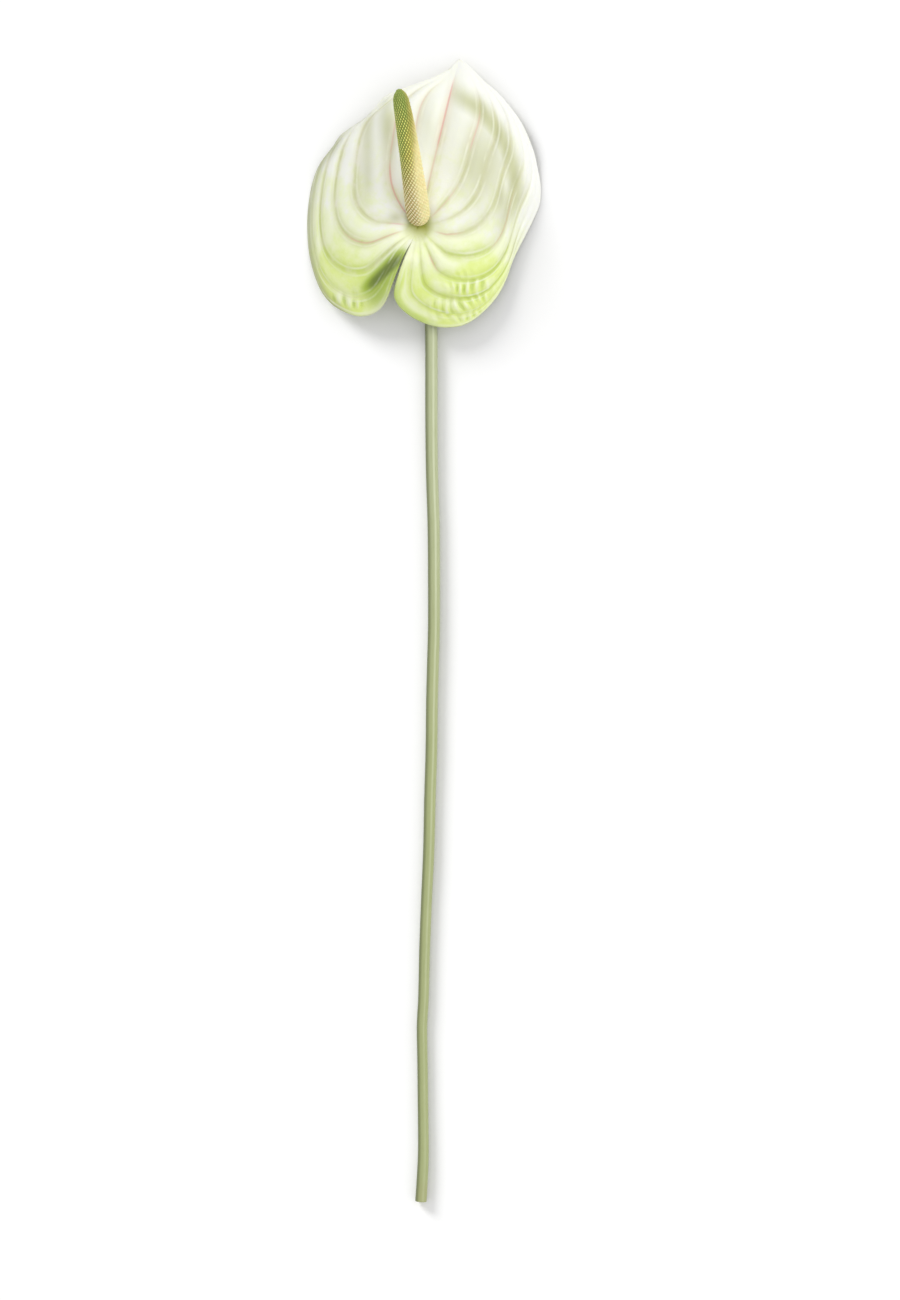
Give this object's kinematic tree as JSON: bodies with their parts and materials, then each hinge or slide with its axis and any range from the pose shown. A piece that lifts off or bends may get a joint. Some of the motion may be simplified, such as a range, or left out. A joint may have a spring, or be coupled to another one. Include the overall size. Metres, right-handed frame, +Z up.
{
  "type": "cut anthurium stem",
  "caption": "Cut flower lying face up: a long straight stalk, a heart-shaped waxy spathe with sunken veins and a finger-shaped spadix.",
  "frame": {"origin": "centre of the object's footprint on the surface that it lies on", "axes": "+Y along the stem from the cut end to the tip of the spathe, +Z up from the surface, +X to the right of the open face"},
  "size_m": [0.1232, 0.6004, 0.057],
  "materials": {
    "stem": "smooth waxy green stalk with a soft sheen",
    "spathe": "waxy, white at the tip, lime green in the lobes, with pink main veins",
    "spadix": "matt, finely bumpy with florets, pale yellow to green"
  },
  "bodies": {
    "root": {"stem": "stem", "spathe": "spathe", "spadix": "spadix"}
  },
  "joints": []
}
